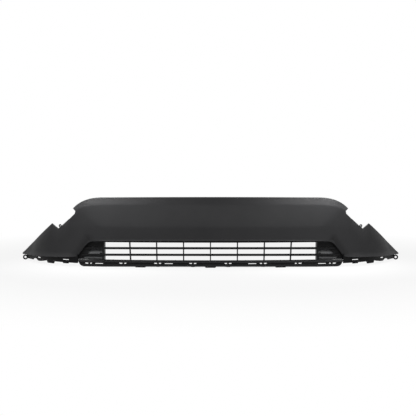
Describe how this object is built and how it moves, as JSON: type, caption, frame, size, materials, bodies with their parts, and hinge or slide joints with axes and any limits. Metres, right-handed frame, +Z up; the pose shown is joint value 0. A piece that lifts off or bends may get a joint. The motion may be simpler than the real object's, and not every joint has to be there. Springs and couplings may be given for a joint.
{
  "type": "bumper cover",
  "caption": "Wide front lower bumper cover: textured wrap-round skin with rounded top edge and wings, slatted lower grille, and a black rail with screw seats.",
  "frame": {"origin": "bottom centre of the part's box, on the surface that its hanging tabs stand on", "axes": "+X to the observer's right when looking at the part's front, +Y from the front to the wing tips, +Z up"},
  "size_m": [1.6656, 0.3625, 0.29],
  "materials": {
    "skin_plastic": "fine grained, unpainted",
    "grille_plastic": "smooth satin",
    "panel_plastic": "fine grained",
    "rail_plastic": "smooth satin",
    "flange_plastic": "smooth satin",
    "nut_steel": "black phosphate",
    "fastener_steel": "black phosphate"
  },
  "bodies": {
    "root": {"bumper_skin": "skin_plastic", "lower_grille": "grille_plastic", "end_panel_left": "panel_plastic", "end_panel_right": "panel_plastic", "rail_centre": "rail_plastic", "rail_end_left": "rail_plastic", "rail_end_right": "rail_plastic", "wing_flange_left": "flange_plastic", "wing_flange_right": "flange_plastic", "clip_nut_1": "nut_steel", "clip_nut_2": "nut_steel", "clip_nut_3": "nut_steel", "clip_nut_4": "nut_steel", "clip_nut_5": "nut_steel", "clip_nut_6": "nut_steel", "clip_nut_7": "nut_steel", "clip_nut_8": "nut_steel", "wing_clip_nut_left": "nut_steel", "wing_clip_nut_right": "nut_steel", "grille_push_nuts": "fastener_steel", "wing_push_nuts_left": "fastener_steel", "wing_push_nuts_right": "fastener_steel", "end_panel_screws": "fastener_steel", "rail_screws": "fastener_steel"}
  },
  "joints": []
}
